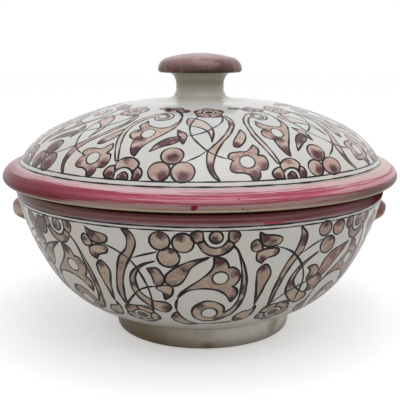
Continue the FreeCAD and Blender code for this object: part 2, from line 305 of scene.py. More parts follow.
def mesh_object(name, vertices, faces, sharp_degrees=40.0, recalculate=True):
    """A smooth-shaded mesh object with its creases kept."""
    mesh = bpy.data.meshes.new(name)
    mesh.from_pydata([tuple(v) for v in vertices], [], faces)
    if recalculate:
        work = bmesh.new()
        work.from_mesh(mesh)
        bmesh.ops.recalc_face_normals(work, faces=work.faces)
        work.to_mesh(mesh)
        work.free()
    mesh.shade_smooth()
    mesh.set_sharp_from_angle(angle=math.radians(sharp_degrees))
    return new_object(name, mesh)


def set_values(obj, name, values):
    """Keep one number per vertex for the materials to read."""
    layer = obj.data.attributes.new(name, "FLOAT", "POINT")
    layer.data.foreach_set("value", np.asarray(values, dtype=np.float32))


def turn(name, outline, closed=False, across=None, offset=0.0):
    """A mesh turned about the Z axis. Ends of the outline on the axis become single points."""
    angles = np.arange(AROUND) * 2 * math.pi / AROUND
    vertices = []
    rings = []
    values = []
    for index, (radius, height) in enumerate(outline):
        if radius < ON_AXIS:
            rings.append([len(vertices)] * AROUND)
            places = [np.array([0.0, 0.0, height * MM])]
        else:
            rings.append(list(range(len(vertices), len(vertices) + AROUND)))
            places = on_wheel(radius, angles, height)
        vertices.extend(places)
        values.extend([across[index] if across else 0.0] * len(places))
    pairs = list(zip(rings, rings[1:]))
    if closed:
        pairs.append((rings[-1], rings[0]))
    faces = []
    for low, high in pairs:
        for i in range(AROUND):
            j = (i + 1) % AROUND
            corners = [low[i], low[j], high[j], high[i]]
            faces.append(tuple(dict.fromkeys(corners)))
    obj = mesh_object(name, np.array(vertices) + offset * MM, faces)
    if across:
        set_values(obj, "across", values)
    return obj


def thrown(name, outline, body, slot, materials, node, **how):
    """A turned piece that stands for one CAD node."""
    return finish_piece(turn(name, outline, **how), body, materials, [node])


def light(colour):
    """Linear light of a colour as it shows on a screen. A single number is a ready grey."""
    if isinstance(colour, float):
        return (colour, colour, colour, 1.0)
    channels = [c / 255 for c in colour]
    return tuple(c / 12.92 if c <= 0.04045 else ((c + 0.055) / 1.055) ** 2.4 for c in channels) + (1.0,)


class Nodes:
    """A tree of shader nodes with a short way to add and join them."""

    def __init__(self, tree):
        self.tree = tree

    def add(self, kind, inputs=None, **settings):
        """A node with its settings, and its inputs set or joined to other nodes' outputs."""
        node = self.tree.nodes.new("ShaderNode" + kind)
        for key, value in settings.items():
            setattr(node, key, value)
        for key, value in (inputs or {}).items():
            self.give(node.inputs[key], value)
        return node

    def give(self, socket, value):
        """Join an input to an output, or set it to a constant."""
        if isinstance(value, bpy.types.NodeSocket):
            self.tree.links.new(value, socket)
        else:
            socket.default_value = light(value) if socket.type == "RGBA" else value

    def math(self, operation, first, second):
        return self.add("Math", {0: first, 1: second}, operation=operation).outputs[0]

    def times(self, first, second):
        return self.math("MULTIPLY", first, second)

    def scaled(self, value, factor, offset):
        """The value times a factor, plus an offset."""
        return self.add("Math", {0: value, 1: factor, 2: offset}, operation="MULTIPLY_ADD").outputs[0]

    def seen(self):
        """1 for what the camera sees directly, mirrored or through something, and 0 for other light."""
        paths = self.add("LightPath").outputs
        direct = self.math("MAXIMUM", paths["Is Camera Ray"], paths["Is Glossy Ray"])
        return self.math("MAXIMUM", direct, paths["Is Transmission Ray"])


class Look(Nodes):
    """A material."""

    def __init__(self, name):
        self.material = bpy.data.materials.new(name)
        self.material.use_nodes = True
        super().__init__(self.material.node_tree)
        self.where = self.add("TexCoord").outputs["Object"]

    def set(self, **inputs):
        """Set inputs of the surface, with _ for the spaces in their names."""
        for key, value in inputs.items():
            self.give(self.tree.nodes["Principled BSDF"].inputs[key.replace("_", " ")], value)

    def axis(self, letter):
        """One coordinate of the place, in metres."""
        return self.add("SeparateXYZ", {"Vector": self.where}).outputs[letter]

    def distance(self, place):
        """Distance from a place, in metres."""
        node = self.add("VectorMath", {0: self.where, 1: Vector(place)}, operation="DISTANCE")
        return node.outputs["Value"]

    def attribute(self, name):
        return self.add("Attribute", attribute_name=name).outputs["Fac"]

    def noise(self, scale, detail=3.0, roughness=0.5, where=None):
        inputs = {"Vector": where or self.where, "Scale": scale, "Detail": detail, "Roughness": roughness}
        return self.add("TexNoise", inputs).outputs["Fac"]

    def ramp(self, value, stops):
        """A colour, or a number, that follows a value, from pairs of place and colour."""
        node = self.add("ValToRGB", {"Fac": value})
        while len(node.color_ramp.elements) < len(stops):
            node.color_ramp.elements.new(0.5)
        for element, (place, colour) in zip(node.color_ramp.elements, stops):
            element.position = place
            element.color = light(colour)
        return node.outputs["Color"]

    def share(self, value, low, high):
        """The value spread from 0 at low to 1 at high."""
        inputs = {"Value": value, "From Min": low, "From Max": high}
        return self.add("MapRange", inputs, interpolation_type="SMOOTHSTEP").outputs["Result"]

    def moved(self, value, noise, amount):
        """The value moved up and down by noise."""
        return self.scaled(noise, amount, self.math("SUBTRACT", value, amount / 2))

    def mix(self, share, first, second):
        """The first colour, passing into the second as the share grows."""
        return self.add("Mix", {0: share, 6: first, 7: second}, data_type="RGBA").outputs[2]

    def tint(self, colour, other, share, strength):
        """The colour with another one over it."""
        return self.mix(self.times(share, strength), colour, other)

    def bump(self, height, strength, distance):
        inputs = {"Height": height, "Strength": strength, "Distance": distance}
        return self.add("Bump", inputs).outputs["Normal"]

    def glazed(self, colour, roughness=0.16, specular=0.5):
        """Finish the look as glossy glaze, a little uneven, over the given colour."""
        swell = self.noise(38.0, 2.0)
        height = self.scaled(self.noise(420.0, 2.0), 0.08, swell)
        self.set(Base_Color=colour, Roughness=roughness, Specular_IOR_Level=specular,
                 Normal=self.bump(height, 0.25, 0.0012))
        return self.material


WHITE = (205, 203, 198)
WARM_WHITE = (203, 196, 187)
COOL_WHITE = (202, 201, 197)
SPECK = (120, 104, 92)
INK = (12, 12, 18)
WATERY_INK = (74, 64, 70)
CRIMSON = (124, 40, 44)
BRIGHT_CRIMSON = (166, 52, 70)
DARK_PLUM = (72, 30, 34)
# Ochre stains on the foot ring: across from the front, height, size and strength
FOOT_STAINS = ((5.5, 2.5, 5.5, 0.8), (60.0, 11.5, 9.5, 0.5))
# Drops of crimson on the front of the rim: across from the middle, share across the bead, size
RIM_DROPS = ((-3.8, 0.585, 2.3), (-2.4, 0.56, 1.6), (23.2, 0.39, 0.7), (25.6, 0.645, 0.8), (28.4, 0.67, 0.7))


def speckled(look, colour, amount=0.035):
    """Small iron specks and pinholes scattered thinly over a glaze."""
    cells = look.add("TexVoronoi", {"Vector": look.where, "Scale": 150.0}).outputs
    near = look.share(cells["Distance"], 0.10, 0.05)
    rare = look.share(cells["Color"], 1.0 - amount, 1.01 - amount)
    return look.tint(colour, SPECK, near, rare)


def streak_place(look, across, turns, fineness):
    """Coordinates for streaks that run round the pot: slow along the wheel's turn, quick across it."""
    inputs = {"X": look.times(look.axis("X"), turns), "Y": look.times(look.axis("Y"), turns),
              "Z": look.times(across, fineness)}
    return look.add("CombineXYZ", inputs).outputs["Vector"]


def streaks(look, across, coverage, layers, edge=0.1):
    """Brush streaks round the wheel: 1 where the paint lies, for a coverage between 0 and 1."""
    value = look.scaled(coverage, 0.6, -0.3)
    for turns, fineness, weight in layers:
        noise = look.noise(1.0, 5.0, 0.7, streak_place(look, across, turns, fineness))
        value = look.scaled(look.math("SUBTRACT", noise, 0.5), weight, value)
    return look.share(value, -edge, edge)


def white_glaze(name, stain, crown=None):
    """Tin-white glaze, mottled, with faint stain where it lies thin, and on the lid a cooler grey crown that
    is a painted reflection of the sky and the knob.
    """
    look = Look(name)
    colour = look.ramp(look.noise(16.0, 4.0, 0.55), [(0.35, COOL_WHITE), (0.5, WHITE), (0.68, WARM_WHITE)])
    colour = look.tint(colour, stain, look.share(look.noise(27.0, 5.0, 0.62), 0.56, 0.76), 0.35)
    if crown:
        # Painted reflection: the top of the dome is tinted a cooler grey, standing in for the sky and the
        # knob mirrored in the glaze.
        high = look.share(look.axis("Z"), (DOME_BASE + 8.0) * MM, CROWN * MM)
        colour = look.tint(colour, crown, high, 0.85)
    return look.glazed(speckled(look, colour))


def foot_glaze():
    """Thin glaze on the foot ring, stained brown on the left, worn to ochre along its lower edge, and darker
    along that edge, partly with wear and partly with painted shade.
    """
    look = Look("foot_glaze")
    x, z = look.axis("X"), look.axis("Z")
    cloud = look.noise(34.0, 5.0, 0.65)
    colour = look.ramp(cloud, [(0.36, (204, 198, 190)), (0.52, (222, 218, 212)), (0.66, (208, 202, 192))])
    colour = look.tint(colour, (150, 138, 114), look.share(x, 0.055, -0.045), 0.75)
    # Darker towards the lower edge: partly wear, and partly painted shade where the foot meets the floor.
    colour = look.tint(colour, (112, 99, 78), look.share(z, 0.011, 0.001), 0.6)
    stain = look.scaled(cloud, 0.9, look.scaled(x, -8.0, look.scaled(z, -14.0, -0.20)))
    colour = look.tint(colour, (104, 88, 58), look.share(stain, 0.0, 0.5), 0.72)
    patch = look.noise(120.0, 5.0, 0.7)
    worn = look.scaled(patch, 0.008, look.scaled(z, -1.0, -0.0016))
    colour = look.tint(colour, (116, 86, 46), look.share(worn, 0.0, 0.003), 0.85)
    for across, height, size, strength in FOOT_STAINS:
        distance = look.distance(on_wheel(FOOT_RADIUS, across / FOOT_RADIUS, height))
        near = look.scaled(patch, 0.008, look.scaled(distance, -1.0, size * MM - 0.004))
        colour = look.tint(colour, (124, 92, 40), look.share(near, -0.001, 0.005), strength)
    return look.glazed(speckled(look, colour, 0.08))


def stem_glaze():
    """Grey-green glaze of the stem, in rings from the wheel, paler where it runs out on the dome and darker
    up under the cap, where the darkening is painted shade.
    """
    look = Look("stem_glaze")
    height = look.share(look.axis("Z"), CROWN * MM, CAP_BASE * MM)
    rings = look.noise(1.0, 3.0, 0.6, streak_place(look, height, 12.0, 14.0))
    # Colours from the foot of the stem up: the darkening towards the top is painted shade under the cap.
    stops = [(0.02, (202, 196, 187)), (0.22, (184, 180, 168)), (0.5, (164, 160, 142)),
             (0.75, (142, 138, 116)), (0.95, (158, 156, 136))]
    return look.glazed(speckled(look, look.ramp(look.moved(height, rings, 0.3), stops)))


def rim_glaze():
    """Crimson brushed round the rim on the wheel, in streaks, over pale pink glaze, with near-black painted
    shade in the slot under the lid.
    """
    look = Look("rim_glaze")
    across = look.attribute("across")
    x = look.axis("X")
    left = look.share(x, -0.03, -0.125)
    right = look.share(x, 0.05, 0.13)
    moved = look.moved(across, look.noise(1.0, 2.0, 0.5, streak_place(look, across, 9.0, 1.0)), 0.05)
    # The last stop is painted shade: near-black on the foot of the bead and on its underside in the slot
    # under the lid.
    pale = look.ramp(moved, [(0.01, (204, 192, 178)), (0.07, (206, 182, 182)), (0.26, (206, 170, 176)),
                             (0.43, (196, 138, 152)), (0.51, (156, 126, 122)), (0.63, (156, 130, 124)),
                             (0.72, (190, 174, 150)), (0.80, (48, 22, 20))])
    pale = look.tint(pale, (198, 170, 154), look.times(right, look.share(across, 0.31, 0.22)), 0.7)
    brown = look.times(right, look.share(across, 0.46, 0.52))
    brown = look.times(brown, look.share(across, 0.73, 0.67))
    pale = look.tint(pale, (94, 74, 56), brown, 0.9)
    pale = look.tint(pale, (126, 84, 80), look.share(x, -0.11, -0.145), 0.7)
    # How much of the rim the crimson covers, more on the left and less on the right
    covered = look.ramp(moved, [(0.00, 0.05), (0.03, 0.32), (0.06, 0.12), (0.17, 0.14), (0.26, 0.36),
                                (0.32, 0.95), (0.36, 0.85), (0.40, 0.50), (0.445, 0.60), (0.48, 0.90),
                                (0.515, 0.30), (0.63, 0.10), (0.715, 0.0)])
    more = look.ramp(across, [(0.02, 0.1), (0.12, 0.2), (0.28, 0.4), (0.45, 0.9), (0.63, 0.9), (0.75, 0.0)])
    less = look.ramp(across, [(0.18, 0.0), (0.26, 0.40), (0.33, 0.20), (0.38, 0.45), (0.43, 0.40),
                              (0.455, 0.0)])
    covered = look.math("ADD", covered, look.times(left, more))
    covered = look.math("SUBTRACT", covered, look.times(right, less))
    red = streaks(look, across, covered, ((9.0, 20.0, 1.7), (24.0, 56.0, 1.7)))
    bare_marks = streaks(look, across, 0.22, ((7.0, 84.0, 1.9), (26.0, 180.0, 1.2)))
    red = look.math("SUBTRACT", red, look.times(bare_marks, look.scaled(left, -0.15, 0.55)))
    crimson = look.ramp(moved, [(0.04, (170, 92, 110)), (0.29, (156, 46, 78)), (0.40, (182, 80, 104)),
                                (0.49, (136, 52, 68))])
    crimson = look.tint(crimson, (104, 4, 24), left, look.share(across, 0.04, 0.40))
    crimson = look.tint(crimson, (108, 40, 52), right, look.share(across, 0.40, 0.46))
    dark_marks = streaks(look, across, 0.3, ((13.0, 70.0, 1.9), (30.0, 150.0, 1.2)))
    crimson = look.tint(crimson, (104, 14, 38), dark_marks, 0.55)
    colour = look.tint(pale, crimson, look.share(red, 0.0, 1.0), 0.93)
    for place, share, size in RIM_DROPS:
        radius, height = bead_point(share)
        distance = look.distance(on_wheel(radius, place / radius, height))
        colour = look.mix(look.share(distance, size * MM, 0.5 * size * MM), colour, (116, 24, 42))
    return look.glazed(speckled(look, colour, 0.06), 0.2, 0.08)


def band_glaze():
    """Maroon band in streaks, browner on the left, darker on the right, darkest just under the lip, partly as
    painted shade of the rim, and mauve at its foot.
    """
    look = Look("band_glaze")
    across = look.times(look.attribute("across"), 0.1)
    left = look.share(look.axis("X"), -0.02, -0.12)
    right = look.share(look.axis("X"), 0.085, 0.122)
    # Darkest under the lip: partly the band's own maroon and partly painted shade under the overhanging rim.
    colour = look.ramp(across, [(0.10, (92, 52, 48)), (0.26, (104, 60, 60)), (0.32, (140, 104, 104)),
                                (0.40, (118, 70, 74)), (0.60, (134, 104, 110)), (0.80, (162, 144, 150))])
    colour = look.tint(colour, (112, 80, 66), left, 0.7)
    colour = look.tint(colour, (74, 27, 24), right, 0.9)
    covered = look.ramp(across, [(0.05, 0.3), (0.35, 0.35), (0.42, 0.62), (0.56, 0.5), (0.66, 0.05)])
    red = streaks(look, across, covered, ((12.0, 9.0, 1.8), (36.0, 24.0, 1.6)))
    colour = look.tint(colour, look.mix(left, (108, 28, 40), (66, 38, 32)), red, 0.85)
    return look.glazed(colour, 0.2, look.scaled(right, -0.16, 0.16))


def cap_glaze():
    """Mauve glaze, dark brown low on the knob and paler towards its top, mottled with tan."""
    look = Look("cap_glaze")
    moved = look.moved(look.attribute("across"), look.noise(95.0, 6.0, 0.7), 1.1)
    colour = look.ramp(moved, [(0.02, (50, 26, 16)), (0.22, (78, 44, 34)), (0.40, (104, 70, 70)),
                               (0.62, (132, 98, 98)), (0.92, (164, 130, 136))])
    colour = look.tint(colour, (132, 98, 78), look.share(look.noise(70.0, 5.0, 0.7), 0.52, 0.60), 0.6)
    colour = look.tint(colour, (82, 48, 56), look.share(look.noise(52.0, 4.0, 0.65), 0.43, 0.37), 0.7)
    return look.glazed(speckled(look, colour, 0.05), 0.3)


def lug_glaze(name, top, middle, foot):
    """Lug: a wash over cream, ochre where the glaze pooled underneath, darker at its outer end."""
    look = Look(name)
    low, high = np.array(node_box("left_lug")) * MM
    height = look.share(look.axis("Z"), low[2], high[2])
    moved = look.moved(height, look.noise(110.0, 4.0, 0.6), 0.5)
    colour = look.ramp(moved, [(0.08, foot), (0.28, (142, 108, 76)), (0.48, middle), (0.72, middle),
                               (0.92, top)])
    reach = abs(low[0])
    outer = look.share(look.math("ABSOLUTE", look.axis("X"), 0.0), reach - 0.006, reach - 0.001)
    return look.glazed(look.tint(colour, (118, 58, 54), outer, 0.7), 0.2)


def bare_clay():
    """Unglazed buff earthenware."""
    look = Look("bare_clay")
    colour = look.ramp(look.noise(40.0, 5.0, 0.6), [(0.3, (178, 148, 118)), (0.7, (200, 174, 144))])
    look.set(Base_Color=colour, Roughness=0.85, Normal=look.bump(look.noise(600.0, 4.0), 0.3, 0.0006))
    return look.material


def fill_paint(name, pale, middle, aubergine):
    """Watery paint under the glaze, in ragged brush marks. A wash below the thin one is plain white glaze."""
    look = Look(name)
    wash = look.attribute("wash")
    brush = look.noise(210.0, 6.0, 0.75)
    pool = look.noise(120.0, 4.0, 0.6)
    tone = look.scaled(pool, 1.6, look.scaled(look.attribute("tone"), 0.5, -0.75))
    body = look.mix(look.share(tone, 0.1, 0.5), pale, middle)
    body = look.tint(body, WARM_WHITE, look.share(brush, 0.58, 0.70), 0.55)
    ragged = look.moved(wash, brush, 1.5)
    colour = look.mix(look.share(ragged, 0.16, 0.36), body, look.mix(0.5, middle, aubergine))
    deep = look.mix(look.share(pool, 0.44, 0.56), aubergine, DARK_PLUM)
    colour = look.mix(look.share(ragged, 0.40, 0.62), colour, deep)
    rust = look.times(look.attribute("rust"), look.share(brush, 0.3, 0.6))
    colour = look.mix(look.share(rust, 0.0, 1.0), colour, CRIMSON)
    colour = look.mix(look.share(rust, 1.0, 1.5), colour, BRIGHT_CRIMSON)
    colour = look.mix(look.share(wash, THIN_WASH - 0.1, THIN_WASH + 0.1), WHITE, colour)
    return look.glazed(colour, specular=0.35)


def ink_paint():
    """Blue-black brush line, thinner where the brush ran dry."""
    look = Look("ink_paint")
    thin = look.share(look.noise(90.0, 3.0, 0.6), 0.55, 0.8)
    return look.glazed(look.tint(INK, WATERY_INK, thin, 0.5), specular=0.25)


MATERIALS = {
    "bowl": white_glaze("bowl_glaze", (182, 174, 164)),
    # The crown colour is a painted reflection of the sky and the knob.
    "lid": white_glaze("lid_glaze", (196, 184, 168), crown=(196, 199, 197)),
    "foot": foot_glaze(),
    "stem": stem_glaze(),
    "band": band_glaze(),
    "rim": rim_glaze(),
    "cap": cap_glaze(),
    "left_lug": lug_glaze("left_lug_glaze", (160, 116, 106), (194, 174, 154), (122, 94, 40)),
    "right_lug": lug_glaze("right_lug_glaze", (132, 78, 80), (120, 58, 58), (140, 108, 60)),
    "clay": bare_clay(),
    "ink": ink_paint(),
    "lid_fill": fill_paint("lid_fill_paint", (190, 171, 156), (180, 148, 139), (96, 50, 58)),
    "bowl_fill": fill_paint("bowl_fill_paint", (178, 161, 141), (160, 138, 124), (78, 54, 58)),
}


def curve(points, closed):
    """A smooth line through points. A point with a third item is a corner."""
    places = [np.array(p[:2], float) for p in points]
    corner = [len(p) > 2 for p in points]
    count = len(places)
    line = []
    for i in range(count if closed else count - 1):
        a, b = places[i], places[(i + 1) % count]
        first_open = corner[i] or (not closed and i == 0)
        last_open = corner[(i + 1) % count] or (not closed and i == count - 2)
        before = 2 * a - b if first_open else places[i - 1]
        after = 2 * b - a if last_open else places[(i + 2) % count]
        steps = max(2, int(np.linalg.norm(b - a) / LINE_STEP))
        for t in np.arange(steps) / steps:
            line.append(0.5 * (2 * a + (b - before) * t + (2 * before - 5 * a + 4 * b - after) * t ** 2
                               + (3 * a - before - 3 * b + after) * t ** 3))
    if not closed:
        line.append(places[-1])
    return np.array(line)


def ellipse(x, y, wide, tall=None):
    """Corner-free outline of a round form."""
    tall = tall or wide
    return [(x + wide * math.cos(a), y + tall * math.sin(a))
            for a in np.arange(ELLIPSE_POINTS) * 2 * math.pi / ELLIPSE_POINTS]


def inside(points, loop):
    """Which points lie inside a closed line."""
    x, y = points[:, 0][:, None], points[:, 1][:, None]
    x1, y1 = loop[:, 0], loop[:, 1]
    x2, y2 = np.roll(x1, -1), np.roll(y1, -1)
    straddles = (y1 > y) != (y2 > y)
    rise = np.where(y2 == y1, TINY, y2 - y1)
    return (straddles & (x < (x2 - x1) * (y - y1) / rise + x1)).sum(axis=1) % 2 == 1


def triangulate(loop):
    """Points and triangles that fill a closed line, fine enough to follow the curve of the pot."""
    low, high = loop.min(axis=0), loop.max(axis=0)
    rows = [np.arange(a + FILL_STEP / 2, b, FILL_STEP) for a, b in zip(low, high)]
    grid = np.stack(np.meshgrid(*rows), -1).reshape(-1, 2)
    grid = grid[inside(grid, loop)]
    if len(grid):
        far = np.linalg.norm(grid[:, None] - loop[None], axis=2).min(axis=1) > FILL_MARGIN
        grid = grid[far]
    points = [Vector(p) for p in np.concatenate([loop, grid])]
    edges = [(i, (i + 1) % len(loop)) for i in range(len(loop))]
    found = geometry.delaunay_2d_cdt(points, edges, [], ONLY_INSIDE, MERGE_DISTANCE)
    return np.array([tuple(p) for p in found[0]]), found[2]


class Strip:
    """The painted side of a turned wall, unrolled so that small figures keep their shape.

    Across is the length round the reference radius, from the front. Along starts at the outline's start.
    """

    def __init__(self, outline, outward):
        outline = np.array(outline)
        self.radius, self.height = outline.T
        self.reference = self.radius[0]
        lengths = np.linalg.norm(np.diff(outline, axis=0), axis=1)
        middle = (self.radius[1:] + self.radius[:-1]) / 2
        self.along = np.concatenate([[0], np.cumsum(lengths * self.reference / middle)])
        slope = np.gradient(outline, axis=0)
        normal = np.stack([slope[:, 1], -slope[:, 0]], axis=1) * outward
        self.normal = normal / np.linalg.norm(normal, axis=1)[:, None]

    def read(self, along, values):
        return np.interp(along, self.along, values)

    def place(self, points, lift):
        """Places in metres of points on the strip, lifted off the surface."""
        along = points[:, 1]
        radius = self.read(along, self.radius) + lift * self.read(along, self.normal[:, 0])
        height = self.read(along, self.height) + lift * self.read(along, self.normal[:, 1])
        return on_wheel(radius, points[:, 0] / self.reference, height)

    def shrink(self, points):
        """Real length of one strip millimetre at each point."""
        return self.read(points[:, 1], self.radius) / self.reference


class Painting:
    """Painted fills and brush lines on one strip, gathered into one mesh each.

    The part of the strip between the values of shaded_side, up to shaded_to along, has a darker wash.
    """

    def __init__(self, strip, line_width, line_growth, shaded_side, shaded_to, side_wash, rusty_side=None):
        self.strip = strip
        self.line_width = line_width
        self.line_growth = line_growth
        self.shaded_side = shaded_side
        self.shaded_to = shaded_to
        self.side_wash = side_wash
        self.rusty_side = rusty_side
        # Moves the points of a figure to its place on the strip
        self.warp = None
        self.meshes = {kind: {"vertices": [], "faces": [], "wash": [], "tone": [], "rust": []}
                       for kind in ("fill", "ink")}

    def keep(self, kind, vertices, faces, wash=0.0, tone=0.0, rust=0.0):
        mesh = self.meshes[kind]
        start = len(mesh["vertices"])
        mesh["vertices"].extend(vertices)
        mesh["faces"].extend([tuple(start + i for i in face) for face in faces])
        for name, value in (("wash", wash), ("tone", tone), ("rust", rust)):
            mesh[name].extend(np.broadcast_to(value, len(vertices)))

    def brush(self, line, width=1.0, closed=False, taper=True):
        """A brush line along ready points, with the width of a hand-held brush."""
        if closed:
            line = np.concatenate([line, line[:1]])
        flow = np.gradient(line, axis=0)
        flow /= np.maximum(np.linalg.norm(flow, axis=1), TINY)[:, None]
        side = np.stack([-flow[:, 1], flow[:, 0]], axis=1)
        steps = np.arange(len(line))
        phase = random.uniform(0, BRUSH_PHASES)
        half = 0.5 * self.line_width * width / self.strip.shrink(line)
        half = half * (1 + self.line_growth * line[:, 1])
        half = half * (1 + waves(steps, [(size, rate, start * phase) for size, rate, start in BRUSH_SWELLS]))
        if taper:
            ends = np.minimum(steps, len(line) - 1 - steps)
            half = half * np.clip(TAPER_TIP + ends / TAPER_STEPS, 0, 1)
        if closed:
            half[-1] = half[0]
            side[-1] = side[0] = unit(side[0] + side[-1])
        offset = side * half[:, None]
        rows = [self.strip.place(line + offset, FILL_LIFT), self.strip.place(line, INK_LIFT),
                self.strip.place(line - offset, FILL_LIFT)]
        n = len(line)
        faces = [(row * n + i, row * n + i + 1, (row + 1) * n + i + 1, (row + 1) * n + i)
                 for row in range(2) for i in range(n - 1)]
        self.keep("ink", np.concatenate(rows), faces)

    def stroke(self, points, width=1.0):
        """An open brush line through points of the figure."""
        self.brush(self.warp(curve(points, False)), width)

    def patch(self, loop, lift, wash_at, rust=0.0):
        """A painted fill inside a closed line."""
        points, faces = triangulate(loop)
        rust = np.full(len(points), rust)
        if self.rusty_side:
            rust += RUSTY_WASH * np.interp(points[:, 0], self.rusty_side, (0, 1, 1, 0))
        wash = wash_at(points)
        shade = np.interp(points[:, 0], self.shaded_side, (0, 1, 1, 0)) * (points[:, 1] < self.shaded_to)
        wash = np.where(wash < THIN_WASH, wash, wash + self.side_wash * shade)
        self.keep("fill", self.strip.place(points, lift), faces, wash, random.random(), rust)

    def outlined(self, points, lift, wash_at):
        """A painted fill with a brush line round it."""
        loop = self.warp(curve(points, True))
        self.patch(loop, lift, wash_at)
        self.brush(loop, closed=True, taper=False)

    def shape(self, points, darks=(), base=BASE_WASH, lift=FILL_LIFT):
        """A filled and outlined form. Each dark is a place, its reach and how strong the wash is there."""
        moved = [(self.warp(np.array([[x, y]]))[0], reach, depth) for x, y, reach, depth in darks]

        def wash_at(places):
            wash = np.full(len(places), base)
            for centre, reach, depth in moved:
                distance = np.linalg.norm(places - centre, axis=1)
                near = np.clip(WASH_HEART - distance / (WASH_REACH * reach), 0, 1)
                wash = np.maximum(wash, base + (depth - base) * near)
            return wash

        self.outlined(points, lift, wash_at)

    def blank(self, points):
        """A form left white inside its line."""
        self.outlined(points, WHITE_LIFT, lambda places: np.full(len(places), NO_WASH))

    def berry(self, x, y, size, dark_x, dark_y, reach=0.85):
        self.shape(ellipse(x, y, size), [(x + dark_x, y + dark_y, size * reach, DARK_WASH)])

    def rosette(self, x, y, disc, ring, reach, petals, start):
        """A flower with a disc, a white ring and petals round it."""
        half = PETAL_WIDTH * math.pi / petals
        for index in range(petals):
            middle = start + index * 2 * math.pi / petals

            def spot(angle, radius):
                return x + radius * math.cos(middle + angle), y + radius * math.sin(middle + angle)

            foot, shoulder, wide = ring * PETAL_FOOT, reach * PETAL_SHOULDER, half * PETAL_SPREAD
            points = [spot(-half, foot), spot(-wide, shoulder), spot(0, reach), spot(wide, shoulder),
                      spot(half, foot), spot(0, ring)]
            self.shape(points, [(*spot(0, reach), reach * PETAL_DARK_REACH, PETAL_DARK)])
        self.blank(ellipse(x, y, ring))
        self.shape(ellipse(x, y, disc), [(x, y, disc * DISC_DARK_REACH, DARK_WASH)], lift=DISC_LIFT)

    def ring_line(self, along, width):
        """A line right round the pot, drawn on the wheel."""
        angle = np.linspace(-math.pi, math.pi, 2 * AROUND + 1)
        line = np.stack([angle * self.strip.reference, along + waves(angle, RING_SWAYS)], axis=1)
        self.brush(line, width, taper=False)

    def finish(self, name, body, fill):
        """Make the two painted pieces, with the given paint in the fills."""
        for kind, material in (("fill", fill), ("ink", "ink")):
            mesh = self.meshes[kind]
            obj = mesh_object("%s_%s" % (name, kind), mesh["vertices"], mesh["faces"], PAINT_SHARP_DEGREES,
                              recalculate=False)
            turn_outward(obj)
            for value in ("wash", "tone", "rust"):
                set_values(obj, value, mesh[value])
            finish_piece(obj, body, [material])


def turn_outward(obj):
    """Make every face of a painted layer look away from the middle of the pot."""
    flips = [p.index for p in obj.data.polygons if p.normal.dot(p.center - POT_MIDDLE) < 0]
    work = bmesh.new()
    work.from_mesh(obj.data)
    work.faces.ensure_lookup_table()
    bmesh.ops.reverse_faces(work, faces=[work.faces[i] for i in flips])
    work.to_mesh(obj.data)
    work.free()


